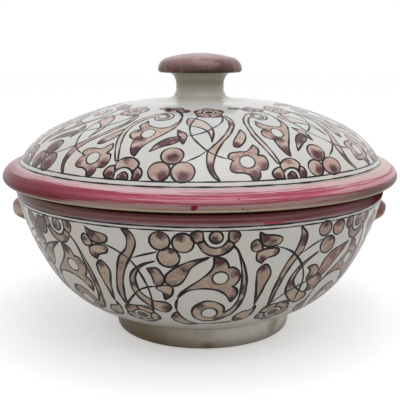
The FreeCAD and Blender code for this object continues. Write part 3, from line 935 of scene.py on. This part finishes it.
# Figures on the lid, across from the middle of their group and up from the foot of the dome.
def lid_figures(p):
    half_rosette_line = 4.3
    p.shape([(-56, half_rosette_line, 1), (-62, 4.8), (-64.5, 8), (-63, 12), (-58.6, 14), (-56.8, 10)],
        [(-61, 6, 6, 0.9)])
    p.shape([(-56.4, 11), (-57.8, 16), (-54, 20.6), (-49, 21.7), (-44, 20), (-41, 16), (-43.6, 11),
        (-46.5, 12.2), (-50, 13), (-53.5, 12.2)], [(-52, 20, 6, 0.6)])
    p.shape([(-43.6, half_rosette_line, 1), (-39, 4.6), (-37.3, 8), (-38.5, 12), (-41.6, 13.6),
        (-43.2, 10)], [(-40, 6, 6, 0.9)])
    p.stroke([(-57, 4.5), (-56.5, 8.5), (-53.5, 12), (-50, 13), (-46.5, 12), (-44, 9), (-43.5, 4.5)])
    p.shape([(-54, half_rosette_line, 1), (-53.5, 7), (-50, 9.6), (-47, 7.5),
        (-46.3, half_rosette_line, 1)], [(-50, 5, 5, 1.0)])
    # Stem that rolls up into a spiral
    p.shape([(-59.3, 18, 1), (-64.5, 29), (-69.5, 42), (-72.3, 54), (-72.5, 65), (-70, 80), (-64, 92),
        (-56, 101), (-46, 105.5), (-36, 103), (-31.5, 94), (-35.5, 85), (-44, 81.5), (-51, 84),
        (-54, 90, 1), (-58, 90), (-64.5, 80), (-68, 68), (-68, 54), (-65, 42), (-60.7, 29), (-57.2, 18, 1)],
        [(-45, 104, 8, 0.7)], THIN_WASH)
    p.stroke([(-54, 90), (-52.5, 97), (-46, 100.5), (-39.5, 98), (-37, 92), (-40, 86.5), (-45, 85),
        (-50, 87)])
    p.blank(ellipse(-45, 93, 5.2, 5.0))
    # Palmette under the spiral
    p.shape([(-21, 92, 1), (-20.5, 80), (-24, 65), (-30, 55), (-38, 43), (-44, 33), (-46.5, 23, 1),
        (-50, 26), (-53, 33), (-54, 42), (-51, 43.5, 1), (-57, 44), (-62, 50), (-61, 57), (-57, 60),
        (-55, 60, 1), (-59, 64), (-60.5, 70), (-58, 76), (-57.5, 80, 1), (-52, 70), (-44, 65), (-35, 64),
        (-28, 69), (-22.5, 80)], [(-50, 44, 7, 0.9), (-48, 28, 8, 1.0), (-57, 58, 6, 0.6),
        (-58, 76, 6, 0.6), (-22, 78, 9, 0.5)], FULL_WASH)
    p.blank(ellipse(-46, 53.5, 6.0, 7.5))
    p.stroke([(-21, 91), (-22.5, 100), (-27, 108), (-33, 112)], 1.4)
    # Three berries
    p.berry(-19.3, 25, 8, 1, -2.5, 1.05)
    p.berry(-26.5, 11.3, 7.3, 3, -3)
    p.berry(-11, 11.3, 7.7, 1, -4)
    # Dagger leaf in its calyx
    p.shape([(-37, 28, 1), (-33, 38.5), (-27, 45.5), (-20, 49), (-16, 49, 1), (-16, 43, 1), (-20, 38.5),
        (-28, 34.5)], [(-28, 40, 10, 1.0), (-20, 44, 8, 0.9)])
    p.shape([(-20.5, 61, 1), (-16.5, 58), (-12, 53.5), (-11, 49), (-11, 46), (-13, 37.5, 1), (-15, 41),
        (-17, 45, 1), (-16.5, 48), (-18.5, 50, 1), (-19.5, 55)], [(-14, 43, 6, 0.9), (-18, 57, 5, 0.7)])
    # Tendrils that cross behind the leaves
    p.stroke([(0, 98), (-5, 88), (-9, 74), (-9.5, 62), (-7, 50), (-2, 40), (5, 30), (12, 24.5), (19, 21.5)])
    p.stroke([(-9, 19.5), (0, 25), (6, 31)])
    p.stroke([(27, 98), (25, 83), (20, 73), (12, 64), (6, 58), (-4, 52), (-11, 50)])
    # Crescent leaf, long curved leaf and bud
    p.shape([(-12, 89), (-14, 80), (-12, 72), (-9, 69), (-3, 67), (3, 63), (7, 57), (9, 48), (9.5, 40, 1),
        (12, 55), (11, 65), (8, 74), (3, 82), (-4, 86.5)], [(9.5, 45, 9, 1.0), (-11, 80, 6, 0.3)],
        THIN_WASH)
    p.shape([(31, 95, 1), (35, 82), (34, 70), (30, 60), (25, 50), (18, 40), (12, 28), (9.5, 20), (9, 12),
        (12.5, 4.3, 1), (9, 7), (5.5, 13), (4.5, 20), (5.5, 29), (9, 34), (17, 45), (24, 57), (29, 68),
        (30, 80), (28, 94, 1)], [(7, 14, 8, 1.0), (32, 74, 9, 0.6)])
    p.shape([(37.5, 60, 1), (39, 50), (35, 40), (29, 33.5), (25.5, 35), (27, 42), (32, 51)],
        [(28, 36, 6, 0.9)])
    # Carnation
    p.shape([(19.5, 24), (22, 27), (28, 28), (34, 28.5), (40.5, 35.5, 1), (43, 30), (41, 24, 1), (45, 23),
        (46.5, 17), (44, 12), (39, 11.5, 1), (39, 8), (37, 5), (33.5, 4.3, 1), (32, 8), (28, 10),
        (22, 10.5), (19.5, 13), (21, 18), (23, 20, 1), (20, 21.5)], [(36, 7, 6, 1.0), (44, 14, 6, 0.9),
        (22, 13, 5, 0.5)], FULL_WASH)
    p.blank(ellipse(32, 18.7, 5.2))
    # Flowers high on the crown
    p.rosette(12, 110, 5.0, 8.5, 20.5, 5, 0.3)
    p.shape([(-33, 112), (-42, 112), (-51, 117), (-50, 124), (-42, 126), (-35, 120)], [(-46, 119, 8, 0.9)])
    p.shape([(-35, 121), (-43, 127), (-40, 133), (-31, 134), (-26, 128), (-29, 121)], [(-35, 129, 8, 0.7)])
    p.shape([(-30, 113), (-28, 120), (-20, 123), (-14, 117), (-17, 111), (-24, 109)], [(-20, 116, 8, 0.9)])
    p.shape([(44, 127, 1), (50, 131), (60, 131), (73, 124, 1), (62, 123), (52, 123)], [(60, 128, 8, 0.9)])


# Line just under the lip where the figures of the bowl begin
FIGURE_TOP = 11.2


# Figures on the bowl, across from the middle of their group and down from the lip.
def bowl_flowers(p):
    p.shape([(0.5, FIGURE_TOP, 1), (-4, 11), (-7, 13.5), (-6, 17.5), (-2.5, 19.5), (0.8, 17.5)],
        [(-5, 14, 5, 0.8)])
    p.shape([(17, FIGURE_TOP, 1), (20, 11), (24, 13), (23.5, 17), (20.5, 19.8), (17, 17)],
        [(22, 14, 5, 0.8)])
    p.shape([(-2.5, 19.5), (0, 25), (4, 28), (9, 29.2), (15, 27.5), (19, 24), (20.5, 20), (16.5, 18.6),
        (12.5, 22), (8.5, 23), (4.5, 21.8), (1, 18.4)], [(16, 25, 6, 0.7), (0, 22, 4, 0.5)])
    p.stroke([(0.8, 11.5), (1.2, 17), (4.5, 21.8), (9, 23), (13.5, 21.5), (16.6, 17), (17, 11.5)])
    p.shape(ellipse(9, 15.3, 4.3), [(8, 16.5, 4.5, 0.8)])
    # Spiral scroll
    p.shape([(20, 21, 1), (24, 26), (29, 38), (32, 50), (33, 62), (32, 72), (28, 85), (22, 95), (12, 102),
        (2, 102.5), (-5, 97), (-8, 88), (-6, 79), (0, 73), (6, 71.5), (13, 74), (18, 80), (18.5, 88, 1),
        (24, 82), (28, 72), (29, 60), (28, 45), (24.5, 28)], [(30, 60, 9, 0.6), (-3, 77, 8, 0.9),
        (16, 98, 9, 0.8), (31, 75, 7, 0.7)])
    p.blank(ellipse(6.5, 88, 6.5, 7.5))
    # Palmette above it
    p.shape([(8, 29.5, 1), (15, 32), (18, 37), (18, 39, 1), (22, 39), (26, 43), (26.5, 50), (24, 55),
        (22, 56, 1), (26, 60), (26, 67), (22.5, 73.5, 1), (18, 65), (12, 60), (4, 58), (-4, 58.5),
        (-11, 61), (-18, 68, 1), (-15, 62.5), (-10, 57), (-2, 50), (5, 43), (8, 37)], [(11, 33, 7, 0.9),
        (24, 44, 6, 0.6), (23, 70, 6, 0.9), (-13, 62, 8, 0.8), (24, 60, 5, 0.5)])
    p.blank(ellipse(13, 48, 5.5))
    p.stroke([(-17.5, 68), (-19.5, 73), (-20.5, 80), (-20, 87)], 1.2)
    p.stroke([(-3, 110), (8, 110), (20, 108.5), (31, 105.5)], 0.9)
    p.shape([(-20, 86, 1), (-18.5, 92), (-15, 99), (-9.5, 105.5), (-3, 110.5, 1), (-12, 112.5),
        (-21, 107.5), (-26, 98), (-24, 91)], [(-23, 94, 6, 0.8), (-9, 111, 6, 0.6)])
    # Tulip and club leaf
    p.shape([(37, 13, 1), (41, 15), (48, 16), (53, 18), (52, 22), (47, 24), (41, 23), (38, 19)],
        [(41, 17, 6, 0.9), (46, 21, 6, 0.5)])
    p.shape([(35, 18), (32, 21), (33, 26), (37, 27), (40, 25), (38, 20)], [(34, 22, 4, 0.7)])
    p.shape([(37, 28), (42, 25.5), (50, 25.5), (52, 28), (50, 31), (44, 33), (41, 37, 1), (37, 34),
        (36.5, 30)], [(41, 34, 5, 0.9), (50, 28, 4, 0.5)])
    p.shape([(44, 38), (39.5, 42), (39, 48), (40.5, 58), (42, 68), (43, 79, 1), (45, 70), (47, 58),
        (49.5, 48), (48, 42)], [(43, 41, 5, 0.9), (43, 72, 6, 0.7)])
    p.shape([(44, 80, 1), (45, 85), (44, 93), (42, 99), (37, 104), (31, 106, 1), (29, 101), (30, 94),
        (35, 88), (42, 86)], [(32, 102, 7, 0.9)])
    p.rosette(-53.5, 96.5, 5, 8, 17, 5, 0.2)


def bowl_spray(p):
    # Three berries on their stem
    p.berry(-27, 18.5, 6.7, 0.5, -4.5, 0.75)
    p.berry(-12, 19.5, 7, -2, -5, 0.75)
    p.berry(-22, 31, 7.5, 2, -5.5, 0.5)
    p.stroke([(-29, 26.5), (-40, 30), (-48, 33)])
    # Stems behind the lily and the tulip
    p.stroke([(-67, 24), (-60, 27), (-52, 32), (-47, 38), (-43, 47), (-40, 58), (-39, 70), (-40, 80),
        (-41.5, 91)])
    p.stroke([(-33, 57), (-40, 58.5), (-48, 63), (-56, 72), (-62, 80), (-64, 85)])
    # Hooked band
    p.shape([(-31.5, 34, 1), (-38, 37), (-44, 42), (-48, 50), (-48, 60), (-45, 67), (-38, 73), (-30, 74),
        (-26, 76), (-24.5, 80), (-27, 85.5), (-31, 88), (-36, 86), (-40, 83), (-46, 76), (-51, 68),
        (-53, 60), (-52, 50), (-48, 43), (-40, 37)], [(-50, 56, 8, 0.5), (-28, 82, 7, 0.8)])
    # Lily
    p.shape([(-38, 40.5, 1), (-31, 40), (-27.5, 45), (-26, 50), (-30, 56), (-34, 55), (-35, 48)],
        [(-36, 42, 5, 0.9), (-30, 54, 5, 0.5)])
    p.shape([(-26, 52), (-25, 46), (-18, 39), (-8, 33.5), (5, 30, 1), (-3, 35), (-8, 40), (-11, 47),
        (-15, 53), (-21, 56)], [(0, 32, 8, 1.0), (-11, 41, 8, 0.5), (-22, 53, 6, 0.4)])
    p.shape([(-33, 57.5), (-33, 60), (-29, 63), (-28, 71, 1), (-23, 66), (-21, 60), (-22, 56.5),
        (-27, 55.5)], [(-27, 67, 6, 1.0)])
    # Long curved leaf
    p.shape([(-52, FIGURE_TOP, 1), (-49, 18), (-51, 26), (-57, 33), (-61, 44), (-65, 58), (-66.5, 68),
        (-65, 79), (-63, 84, 1), (-62.5, 76), (-61, 65), (-58, 52), (-53, 40), (-47, 30), (-43.5, 22),
        (-44, 16), (-48, FIGURE_TOP, 1)], [(-50, 13, 8, 0.9), (-59, 40, 8, 0.4), (-64, 78, 6, 0.6)])


def bowl_right_spray(p):
    # Three smaller berries
    p.berry(-29, 16, 5.6, 0.5, -3.5, 0.75)
    p.berry(-15.5, 17, 5.8, -1, -4, 0.75)
    p.berry(-24, 29.5, 7, 2, -5, 0.5)
    p.stroke([(-30, 24), (-39, 28), (-48, 33.5)])
    # Stems behind the bud and the tulip
    p.stroke([(-67, 24), (-60, 27), (-54, 31), (-48, 38), (-43, 47), (-40, 58), (-39, 70), (-38, 85)])
    p.stroke([(-34, 61), (-44, 65), (-54, 71.5), (-63.5, 81)])
    # Hooked band with a round end
    p.shape([(-31.5, 34, 1), (-40, 39), (-47, 44.5), (-52, 52), (-54, 62), (-51.5, 71), (-45, 79.5),
        (-36.5, 85.5), (-29.5, 85), (-26.5, 80), (-30, 75), (-38, 71), (-45, 65), (-49, 58.5), (-48, 52),
        (-44, 45), (-38, 39)], [(-52, 60, 8, 0.7), (-46, 46, 6, 0.6), (-29, 80, 6, 0.4)])
    # Bud with one long leaf
    p.shape([(-38.5, 47, 1), (-35, 45.5), (-30, 46.5), (-26, 51.5), (-27, 56), (-31, 59), (-35.5, 60),
        (-36, 56), (-35, 51)], [(-37, 47, 5, 0.7), (-33, 57, 5, 0.5)])
    p.shape([(-34.5, 61), (-31, 58.5), (-25, 57), (-20, 59), (-18, 64), (-20, 69.5), (-25, 73),
        (-31.5, 73, 1), (-30.5, 68)], [(-28, 71, 6, 0.8), (-22, 60, 5, 0.5)])
    p.shape([(-25, 55.5), (-25, 50), (-22, 41.5), (-15, 35.5), (-7, 33), (3.5, 30.5, 1), (-3, 39), (-9, 46),
        (-15, 54.5), (-20.5, 58)], [(-2, 34, 8, 0.9), (-12, 40, 7, 0.6), (-21, 54, 6, 0.4)])
    # Long leaf on a thin stalk
    p.shape([(-50, FIGURE_TOP, 1), (-45, 16.5), (-44, 22), (-45.5, 29), (-49.5, 35), (-55, 43.5), (-59, 53),
        (-62, 66), (-63, 78), (-64.5, 86, 1), (-65.3, 66), (-62.5, 51), (-58, 39), (-53, 31.5), (-50, 24),
        (-49, 17)], [(-45, 22, 9, 0.8), (-62, 56, 9, 0.5)])


def bowl_figures(p):
    bowl_flowers(p)
    bowl_spray(p)


def bowl_right_figures(p):
    bowl_flowers(p)
    bowl_right_spray(p)


# Part of the bowl, across from the front, that was painted with a redder wash
RUSTY_SIDE = (88.0, 104.0, 150.0, 175.0)
# Parts on the left of the bowl and of the lid whose fills are given a darker wash
BOWL_SHADED_SIDE = (-165.0, -150.0, -126.0, -116.0)
LID_SHADED_SIDE = (-185.0, -160.0, -112.0, -98.0)
# The three groups of figures at the front: middle, how far they lean, how far a part is pulled aside, figures
LID_FRONT = ((-111.0, 0.0, 0.0, lid_figures),
             (0.0, 0.0, 0.0, lid_figures),
             (111.0, 6.0, 4.5, lid_figures))
BOWL_FRONT = ((-116.0, 0.0, 0.0, bowl_figures),
              (1.2, 0.0, 0.0, bowl_figures),
              (116.5, 5.0, 0.0, bowl_right_figures))
# Groups of figures right round the pot, and how much those at the front and at the back sway
GROUPS = 8
FRONT_SWAY = (0.5, 0.0, 0.5)
BACK_SWAY = 1.2
PHASE_STEP = 1.7
SWAY_RATES = (0.07, 0.06)
# Spans of a group, across or along, over which it begins to sway, lean and move down
SWAY_ALONG = (12, 24)
LEAN_ALONG = (0, 60)
LEAN_ACROSS = (30, -20)
DOWN_ALONG = (6, 18)
DOWN_ACROSS = (20, -10)
# Place and reach of the part that is pulled aside, and the share of the pull that goes downwards
PULL_PLACE = -18
PULL_REACH = 34
PULL_DOWN = 0.4
# Redder paint that ran on the band of the bowl, and how red it is
SMEAR = [(39, 6.4), (43, 6.0), (47, 6.6), (51, 5.9), (53, 7.0), (49, 8.0), (42, 7.9)]
SMEAR_RUST = 3.0


def ease(value, start, end):
    """0 at the start, 1 at the end and straight between them."""
    return np.clip((value - start) / (end - start), 0, 1)


def placed(points, middle, lean, pull, squeeze, sway, phase):
    """Points of a figure moved to their place round the pot, uneven as drawn by hand."""
    x, y = points[:, 0], points[:, 1]
    fade = ease(y, *SWAY_ALONG) * sway
    aside = lean * ease(y, *LEAN_ALONG) * ease(x, *LEAN_ACROSS)
    aside = aside - pull * np.clip(1 - np.abs(x - PULL_PLACE) / PULL_REACH, 0, 1)
    down = PULL_DOWN * pull * ease(y, *DOWN_ALONG) * ease(x, *DOWN_ACROSS)
    return np.stack([middle + squeeze * x + aside + sway * np.sin(SWAY_RATES[0] * y + phase),
                     y - down + fade * np.sin(SWAY_RATES[1] * x + 2 * phase)], axis=1)


def paint_round(painting, front):
    """Repeat the figures round the pot. The front ones are set, and the rest fill what is left."""
    length = 2 * math.pi * painting.strip.reference
    period = (front[-1][0] - front[0][0]) / 2
    back_count = GROUPS - len(front)
    back_period = (length - len(front) * period) / back_count
    first_back = front[-1][0] + (period + back_period) / 2
    groups = [(*row, 1.0, sway) for row, sway in zip(front, FRONT_SWAY)]
    for i in range(back_count):
        figures = front[i % len(front)][-1]
        groups.append((first_back + i * back_period, 0.0, 0.0, figures, back_period / period, BACK_SWAY))
    for index, (middle, lean, pull, figures, squeeze, sway) in enumerate(groups):
        painting.warp = partial(placed, middle=middle, lean=lean, pull=pull, squeeze=squeeze, sway=sway,
                                phase=PHASE_STEP * index)
        figures(painting)


def make_bowl():
    """Glazed bowl with its painted band, and the foot ring under it."""
    outside = BOWL.points()
    inner = BOWL.points(BOWL_WALL, BASE_HEIGHT + BOWL_WALL, SEAT)
    below_lip = [p for p in outside if p[1] < SEAT - LIP_ROUND]
    inner_below = [p for p in inner if p[1] < SEAT - LIP_INNER_ROUND]
    lip = rounded([below_lip[-1], (LIP_RADIUS, SEAT), (inner[-1][0], SEAT), inner_below[-1]], LIP_ROUND)[1:-1]
    outline = [(0.0, BASE_HEIGHT)] + below_lip + lip + inner_below[::-1] + [(0.0, BASE_HEIGHT + BOWL_WALL)]
    bowl = thrown("bowl_glazed", outline, "pot", "white_glaze", ["bowl", "band"], "bowl",
                  across=[SEAT - height for radius, height in outline])
    for face in bowl.data.polygons:
        x, y, z = face.center / MM
        if z > SEAT - BAND_HEIGHT and math.hypot(x, y) > LIP_RADIUS - BAND_REACH_IN:
            face.material_index = 1
    inner_foot = FOOT_RADIUS - FOOT_WALL
    ring = rounded([(inner_foot, BASE_HEIGHT), (inner_foot, 0.0), (FOOT_RADIUS, 0.0),
                    (FOOT_RADIUS + FOOT_FLARE, BASE_HEIGHT - FOOT_SHOULDER), (BASE_RADIUS, BASE_HEIGHT)],
                   FOOT_EDGE_ROUND)
    thrown("foot_ring_glazed", ring, "pot", "white_glaze", ["foot"], "foot_ring", closed=True,
           offset=FOOT_OFFSET)


def make_lug(node):
    """Rounded lug pinched out of clay, flattened where it is pressed on the bowl."""
    low, high = np.array(node_box(node))
    half = (high - low) / 2
    side = 1 if high[0] > 0 else -1
    height = (low[2] + high[2]) / 2 - LUG_DROP[node]
    wall_radius, wall_height = np.array(BOWL.points()).T
    reach = LUG_REACH[node] * (max(abs(low[0]), abs(high[0])) - np.interp(height, wall_height, wall_radius))
    work = bmesh.new()
    bmesh.ops.create_uvsphere(work, u_segments=LUG_AROUND, v_segments=LUG_ROWS, radius=1.0)
    for vertex in work.verts:
        x, y, z = vertex.co
        lump = 1 + LUG_LUMPS[0] * math.sin(3 * y + 2 * z + side) + LUG_LUMPS[1] * math.sin(5 * z + 4 * x)
        place_z = height + half[2] * z * lump
        against = np.interp(place_z, wall_height, wall_radius)
        out = against + reach * (x ** LUG_BLUNTNESS if x > 0 else max(x, -LUG_SUNK)) * lump
        vertex.co = Vector((side * out, half[1] * y * lump, place_z)) * MM
    bmesh.ops.recalc_face_normals(work, faces=work.faces)
    mesh = bpy.data.meshes.new(node + "_glazed")
    work.to_mesh(mesh)
    work.free()
    mesh.shade_smooth()
    lug = new_object(node + "_glazed", mesh)
    finish_piece(lug, "pot", [node], [node])


def make_lid():
    """Dome, rolled rim and flange."""
    outer = DOME.points()
    inner = DOME.points(DOME_WALL, DOME_BASE, CROWN - DOME_WALL)
    outline = [(0.0, outer[-1][1])] + outer[::-1] + inner + [(0.0, CROWN - DOME_WALL)]
    thrown("lid_dome_glazed", outline, "lid", "white_glaze", ["lid"], "lid_dome")
    shares = np.linspace(0, BEAD_SHARE, BEAD_POINTS)
    bead = [bead_point(share) for share in shares]
    flange_inner = FLANGE_RADIUS - FLANGE_WALL
    seat_edge = LIP_RADIUS - SLOT_DEPTH
    under = [(seat_edge + SLOT_BEVEL, bead[-1][1]), (seat_edge, SEAT), (flange_inner, SEAT),
             (DOME_RADIUS - DOME_WALL, DOME_BASE)]
    # Its underside takes the last, near-black colour of the rim glaze, as painted shade in the slot.
    thrown("lid_rim_glazed", bead + under, "lid", "crimson_glaze", ["rim"], "lid_rim", closed=True,
           across=list(shares) + [1.0] * len(under))
    skirt = rounded([(flange_inner, SEAT), (flange_inner, FLANGE_FOOT), (FLANGE_RADIUS, FLANGE_FOOT),
                     (FLANGE_RADIUS, SEAT)], FLANGE_EDGE_ROUND)
    thrown("lid_flange_bare", skirt, "lid", "bare_clay", ["clay"], "lid_flange", closed=True)


def stem_ring(height):
    """How far the finger ring stands out of the stem."""
    return STEM_RING * math.exp(-((height - STEM_RING_HEIGHT) / STEM_RING_WIDTH) ** 2)


def make_knob():
    """Waisted stem that runs out on the dome, and the mushroom cap on it."""
    steps = np.linspace(0, math.pi / 2, STEM_POINTS)
    foot_reach, foot_rise = RUN_OUT[0] - WAIST[0], RUN_OUT[1] - WAIST[1]
    top_reach, top_rise = STEM_TOP_RADIUS - WAIST[0], CAP_BASE - WAIST[1]
    lower = [(WAIST[0] + foot_reach * (1 - math.cos(a)) ** RUN_OUT_SWEEP, WAIST[1] + foot_rise * math.sin(a))
             for a in steps]
    upper = [(WAIST[0] + top_reach * (1 - math.cos(a)), WAIST[1] + top_rise * math.sin(a))
             for a in steps[::-1]]
    outline = [(0.0, CAP_BASE)] + upper[:-1] + lower + [(RUN_OUT[0], CROWN), (0.0, CROWN)]
    outline = [(radius + stem_ring(height), height) for radius, height in outline]
    thrown("knob_stem_glazed", outline, "lid", "white_glaze", ["stem"], "knob_stem")
    edge_height = CAP_BASE + CAP_EDGE_ROUND
    shoulder = CAP_TOP - CAP_CROWN_RISE - edge_height
    reach = CAP_RADIUS - shoulder
    crown_radius = (reach ** 2 + CAP_CROWN_RISE ** 2) / (2 * CAP_CROWN_RISE) + shoulder
    crown_start = math.pi / 2 - math.asin(reach / (crown_radius - shoulder))
    outline = [(0.0, CAP_BASE), (CAP_RADIUS - CAP_EDGE_ROUND - CAP_UNDER_EDGE, CAP_BASE)]
    outline += arc((CAP_RADIUS - CAP_EDGE_ROUND, edge_height), CAP_EDGE_ROUND, -math.pi / 2, 0.0)
    outline += arc((reach, edge_height), shoulder, 0.0, crown_start)[1:]
    outline += arc((0.0, CAP_TOP - crown_radius), crown_radius, crown_start, math.pi / 2)[1:-1]
    outline += [(0.0, CAP_TOP)]
    across = [(height - CAP_BASE) / (CAP_TOP - CAP_BASE) for radius, height in outline]
    thrown("knob_cap_glazed", outline, "lid", "mauve_glaze", ["cap"], "knob_cap", across=across)


def make_paintings():
    """Scrolls, flowers and leaves on the lid and the bowl, between brush lines."""
    lid = Painting(Strip(DOME.points(), outward=1.0), line_width=1.2, line_growth=0.0,
                   shaded_side=LID_SHADED_SIDE, shaded_to=90.0, side_wash=0.3)
    lid.ring_line(along=0.7, width=0.8)
    lid.ring_line(along=4.0, width=0.75)
    paint_round(lid, LID_FRONT)
    lid.finish("lid_paint", "lid", "lid_fill")
    bowl = Painting(Strip(BOWL.points()[::-1], outward=-1.0), line_width=1.3, line_growth=0.003,
                    shaded_side=BOWL_SHADED_SIDE, shaded_to=34.0, side_wash=0.45, rusty_side=RUSTY_SIDE)
    bowl.ring_line(along=8.4, width=0.8)
    bowl.ring_line(along=10.9, width=0.7)
    paint_round(bowl, BOWL_FRONT)
    bowl.patch(curve(SMEAR, True), FILL_LIFT, lambda places: np.full(len(places), BASE_WASH), SMEAR_RUST)
    bowl.finish("bowl_paint", "pot", "bowl_fill")


# Stage, in metres: floor, light that the surroundings give off unseen, lamp and camera
FLOOR_REACH = 6.0
FLOOR_GLOW = 0.35
AMBIENT = 0.74
LAMP_SIZE = 0.9
LAMP_ENERGY = 3.2
LAMP_PLACE = (0.12, -0.35, 1.0)
CAMERA_PLACE = (0.0, -0.586, 0.2135)
CAMERA_TILT_DEGREES = 11.23
CAMERA_LENS = 68.09
SENSOR_WIDTH = 36.0
CLIP_START = 0.01


def make_floor():
    """Pale floor that looks white to the camera."""
    mesh = bpy.data.meshes.new("floor")
    corners = [(x * FLOOR_REACH, y * FLOOR_REACH, 0) for x, y in ((-1, -1), (1, -1), (1, 1), (-1, 1))]
    mesh.from_pydata(corners, [], [(0, 1, 2, 3)])
    look = Look("floor")
    glow = look.times(look.add("LightPath").outputs["Is Camera Ray"], FLOOR_GLOW)
    look.set(Base_Color=look.mix(look.seen(), (216, 214, 210), (240, 240, 240)), Roughness=0.9,
             Specular_IOR_Level=0.0, Emission_Color=(255, 255, 255), Emission_Strength=glow)
    mesh.materials.append(look.material)
    new_object("floor", mesh)


def make_stage():
    """Floor, white surroundings, one large soft lamp overhead and the camera."""
    make_floor()
    scene = bpy.context.scene
    scene.world = bpy.data.worlds.new("studio")
    scene.world.use_nodes = True
    around = Nodes(scene.world.node_tree)
    around.tree.nodes.clear()
    strength = around.scaled(around.seen(), 1.0 - AMBIENT, AMBIENT)
    background = around.add("Background", {"Color": (255, 255, 255), "Strength": strength})
    around.add("OutputWorld", {"Surface": background.outputs[0]})
    lamp = new_object("overhead", bpy.data.lights.new("overhead", "AREA"))
    lamp.data.shape = "DISK"
    lamp.data.size = LAMP_SIZE
    lamp.data.energy = LAMP_ENERGY
    lamp.location = LAMP_PLACE
    lamp.rotation_euler = (POT_MIDDLE - lamp.location).to_track_quat("-Z", "Y").to_euler()
    camera = new_object("camera", bpy.data.cameras.new("camera"))
    camera.data.sensor_width = SENSOR_WIDTH
    camera.data.lens = CAMERA_LENS
    camera.data.clip_start = CLIP_START
    camera.location = CAMERA_PLACE
    camera.rotation_euler = (math.radians(90 - CAMERA_TILT_DEGREES), 0.0, 0.0)
    scene.camera = camera
    scene.view_settings.view_transform = "Standard"


make_bowl()
make_lug("left_lug")
make_lug("right_lug")
make_lid()
make_knob()
make_paintings()
make_stage()

bpy.context.view_layer.update()
